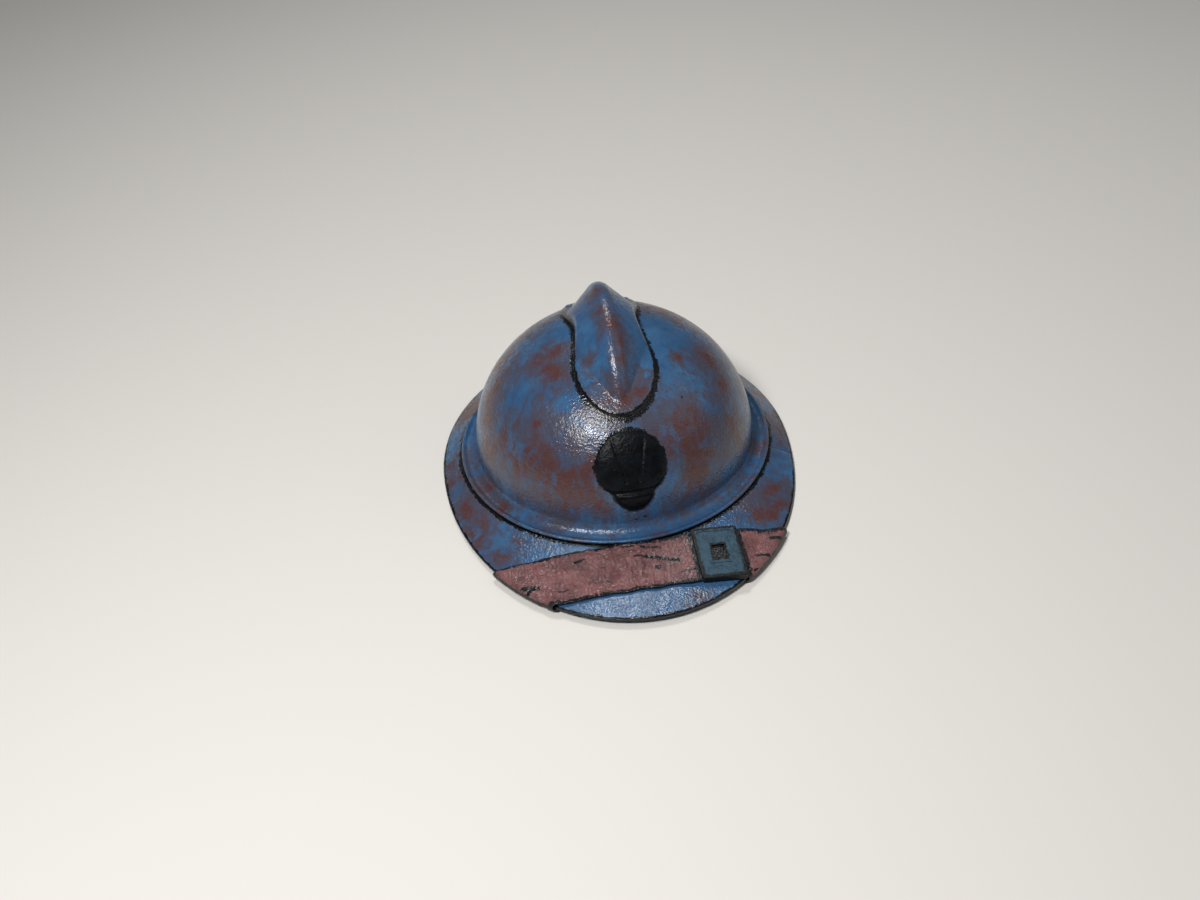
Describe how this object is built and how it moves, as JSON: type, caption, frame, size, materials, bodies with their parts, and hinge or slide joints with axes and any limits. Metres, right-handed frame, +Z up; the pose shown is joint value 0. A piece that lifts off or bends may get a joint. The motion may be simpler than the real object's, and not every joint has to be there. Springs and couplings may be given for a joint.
{
  "type": "combat helmet",
  "caption": "Crested steel helmet with a front peak, neck guard, plain flame badge, laced leather liner and a chinstrap laid over the peak.",
  "frame": {"origin": "on the surface it rests on, at the middle of the brim's length and width", "axes": "+Z up through the crest, -Y out over the front peak, +X to the left-hand side of a wearer"},
  "size_m": [0.24, 0.3059, 0.1262],
  "materials": {
    "helmet_paint": "satin blue paint with brown blotches",
    "badge_black": "satin black",
    "buckle_paint": "satin dark blue grey",
    "bare_steel": "dull",
    "corrugated_aluminium": "matt",
    "strap_leather": "matt",
    "liner_leather": "worn",
    "lace_cord": "waxed"
  },
  "bodies": {
    "helmet": {"bowl": "helmet_paint", "peak": "helmet_paint", "neck_guard": "helmet_paint", "comb": "helmet_paint", "comb_rivets": "helmet_paint", "badge": "badge_black", "brim_joint_plate_left": "bare_steel", "brim_joint_plate_right": "bare_steel", "ring_bracket_left": "bare_steel", "ring_bracket_right": "bare_steel", "liner_lug_front": "bare_steel", "spacer_front": "corrugated_aluminium", "liner_lug_rear": "bare_steel", "spacer_rear": "corrugated_aluminium", "liner_lug_left": "bare_steel", "spacer_left": "corrugated_aluminium", "liner_lug_right": "bare_steel", "spacer_right": "corrugated_aluminium", "liner_band": "liner_leather", "liner_tongue_1": "liner_leather", "liner_tongue_2": "liner_leather", "liner_tongue_3": "liner_leather", "liner_tongue_4": "liner_leather", "liner_tongue_5": "liner_leather", "liner_tongue_6": "liner_leather", "liner_tongue_7": "liner_leather", "liner_lace": "lace_cord"},
    "strap": {"chinstrap": "strap_leather", "strap_ring_left": "bare_steel", "strap_ring_right": "bare_steel", "strap_rivets": "bare_steel"},
    "slide": {"strap_slide": "buckle_paint"}
  },
  "joints": [
    {"name": "chinstrap_swing", "type": "hinge", "parent": "helmet", "child": "strap", "pos_m": [0, 0.009, 0.0062], "axis": [1, 0, 0], "range_deg": [0, 100], "deforming": ["chinstrap", "strap_rivets"]},
    {"name": "buckle_slide", "type": "slide", "parent": "strap", "child": "slide", "axis": [0.9973, 0, -0.0734], "range_m": [-0.006, 0.006]}
  ]
}
